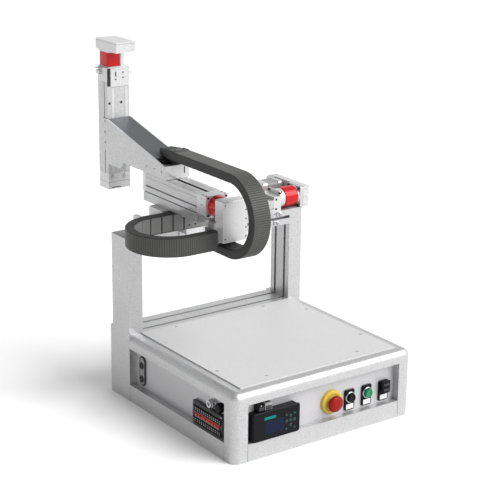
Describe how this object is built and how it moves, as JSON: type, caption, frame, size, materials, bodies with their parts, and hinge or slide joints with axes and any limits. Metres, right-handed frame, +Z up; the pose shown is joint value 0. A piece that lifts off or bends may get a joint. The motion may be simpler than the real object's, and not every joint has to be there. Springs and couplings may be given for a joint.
{
  "type": "cartesian robot",
  "caption": "Desktop cartesian robot: cabinet with operating panel, portal with spindle modules, upright axis on a gusset, cable chains.",
  "frame": {"origin": "centre of the cabinet's footprint on the surface it stands on", "axes": "+Z up, -Y to the operating panel, +X to the right"},
  "size_m": [0.6204, 0.8106, 0.874],
  "materials": {
    "silver_aluminium": "fine matt anodised aluminium",
    "table_white": "pale satin coated plate",
    "chain_plastic": "moulded dark grey nylon links",
    "red_housing": "red anodised",
    "steel": "ground steel",
    "belt_rubber": "toothed belt rubber",
    "motor_grey": "light grey satin paint",
    "black_plastic": "moulded black plastic",
    "red_plastic": "gloss moulded plastic",
    "yellow_plastic": "moulded yellow plastic",
    "green_plastic": "gloss moulded plastic",
    "dark_sheet": "dark grey satin paint",
    "grey_plastic": "moulded grey plastic"
  },
  "bodies": {
    "cabinet": {"cabinet_corners": "silver_aluminium", "cabinet_rails": "silver_aluminium", "deck_profile": "silver_aluminium", "table_plate": "table_white", "table_screws": "steel", "front_panel": "silver_aluminium", "shell_panels": "silver_aluminium", "controller": "black_plastic", "posts": "silver_aluminium", "cross_beam": "silver_aluminium", "x_profile": "silver_aluminium", "x_end_blocks": "silver_aluminium", "x_coupling_housing": "red_housing", "x_drive_housing": "silver_aluminium", "x_motor": "motor_grey", "x_belt": "belt_rubber", "x_chain_bracket": "silver_aluminium", "x_chain_fixed_run": "chain_plastic", "screen_unit": "black_plastic", "stop_collar": "yellow_plastic", "button_holders": "black_plastic", "side_terminals": "black_plastic", "inlet_plate": "grey_plastic"},
    "x_slider": {"x_carriage": "silver_aluminium", "y_support_rail": "silver_aluminium", "y_profile": "silver_aluminium", "y_end_blocks": "silver_aluminium", "y_coupling_housing": "red_housing", "y_drive_housing": "silver_aluminium", "y_motor": "motor_grey", "y_belt": "belt_rubber", "y_chain_bracket": "dark_sheet", "x_chain_moving_run": "chain_plastic", "y_chain_fixed_run": "chain_plastic"},
    "y_slider": {"y_carriage": "silver_aluminium", "gusset_plates": "silver_aluminium", "gusset_cover": "dark_sheet", "gusset_floor": "silver_aluminium", "y_chain_stand": "silver_aluminium", "y_chain_moving_run": "chain_plastic", "z_profile": "silver_aluminium", "z_end_blocks": "silver_aluminium", "z_coupling_housing": "red_housing", "z_drive_housing": "silver_aluminium", "z_motor": "motor_grey", "z_belt": "belt_rubber"},
    "z_slider": {"z_carriage": "silver_aluminium", "tool_plate": "silver_aluminium"},
    "x_chain_loop": {"x_chain_bend": "chain_plastic"},
    "y_chain_loop": {"y_chain_bend": "chain_plastic"},
    "x_screw": {"x_spindle": "steel"},
    "y_screw": {"y_spindle": "steel"},
    "z_screw": {"z_spindle": "steel"},
    "x_motor_shaft": {"x_motor_pulley": "steel"},
    "y_motor_shaft": {"y_motor_pulley": "steel"},
    "z_motor_shaft": {"z_motor_pulley": "steel"},
    "stop_head": {"stop_button": "red_plastic"},
    "black_cap": {"black_button": "black_plastic"},
    "green_cap": {"green_button": "green_plastic"},
    "tall_cap": {"tall_button": "black_plastic"}
  },
  "joints": [
    {"name": "x_slide", "type": "slide", "parent": "cabinet", "child": "x_slider", "axis": [1, 0, 0], "range_m": [-0.03, 0.19], "deforming": ["x_chain_fixed_run", "x_chain_moving_run"]},
    {"name": "y_slide", "type": "slide", "parent": "x_slider", "child": "y_slider", "axis": [0, -1, 0], "range_m": [0, 0.15], "deforming": ["y_chain_fixed_run", "y_chain_moving_run"]},
    {"name": "z_slide", "type": "slide", "parent": "y_slider", "child": "z_slider", "axis": [0, 0, 1], "range_m": [-0.1, 0.07]},
    {"name": "x_chain_roll", "type": "slide", "parent": "cabinet", "child": "x_chain_loop", "axis": [1, 0, 0], "range_m": [-0.016, 0.096]},
    {"name": "y_chain_roll", "type": "slide", "parent": "x_slider", "child": "y_chain_loop", "axis": [0, -1, 0], "range_m": [-0.001, 0.076]},
    {"name": "x_screw_turn", "type": "hinge", "parent": "cabinet", "child": "x_screw", "pos_m": [-0.22, 0.2045, 0.4595], "axis": [1, 0, 0], "range_deg": [-1085, 6845]},
    {"name": "x_motor_turn", "type": "hinge", "parent": "cabinet", "child": "x_motor_shaft", "pos_m": [-0.22, 0.2885, 0.4595], "axis": [1, 0, 0], "range_deg": [-1085, 6845]},
    {"name": "y_screw_turn", "type": "hinge", "parent": "x_slider", "child": "y_screw", "pos_m": [-0.1245, 0.29, 0.5386], "axis": [0, -1, 0], "range_deg": [-5, 5405]},
    {"name": "y_motor_turn", "type": "hinge", "parent": "x_slider", "child": "y_motor_shaft", "pos_m": [-0.1245, 0.29, 0.4815], "axis": [0, -1, 0], "range_deg": [-5, 5405]},
    {"name": "z_screw_turn", "type": "hinge", "parent": "y_slider", "child": "z_screw", "pos_m": [-0.1245, 0.485, 0.478], "axis": [0, 0, 1], "range_deg": [-3605, 2525]},
    {"name": "z_motor_turn", "type": "hinge", "parent": "y_slider", "child": "z_motor_shaft", "pos_m": [-0.1245, 0.441, 0.478], "axis": [0, 0, 1], "range_deg": [-3605, 2525]},
    {"name": "stop_press", "type": "slide", "parent": "cabinet", "child": "stop_head", "axis": [0, 1, 0], "range_m": [0, 0.005], "stiffness_N_per_m": 2000},
    {"name": "black_press", "type": "slide", "parent": "cabinet", "child": "black_cap", "axis": [0, 1, 0], "range_m": [0, 0.003], "stiffness_N_per_m": 800},
    {"name": "green_press", "type": "slide", "parent": "cabinet", "child": "green_cap", "axis": [0, 1, 0], "range_m": [0, 0.003], "stiffness_N_per_m": 800},
    {"name": "tall_press", "type": "slide", "parent": "cabinet", "child": "tall_cap", "axis": [0, 1, 0], "range_m": [0, 0.003], "stiffness_N_per_m": 800}
  ],
  "couplings": [
    {"joint": "x_chain_roll", "follows": "x_slide", "ratio": 0.5},
    {"joint": "y_chain_roll", "follows": "y_slide", "ratio": 0.5},
    {"joint": "x_screw_turn", "follows": "x_slide", "rad_per_m": 628.32},
    {"joint": "x_motor_turn", "follows": "x_slide", "rad_per_m": 628.32},
    {"joint": "y_screw_turn", "follows": "y_slide", "rad_per_m": 628.32},
    {"joint": "y_motor_turn", "follows": "y_slide", "rad_per_m": 628.32},
    {"joint": "z_screw_turn", "follows": "z_slide", "rad_per_m": 628.32},
    {"joint": "z_motor_turn", "follows": "z_slide", "rad_per_m": 628.32}
  ]
}
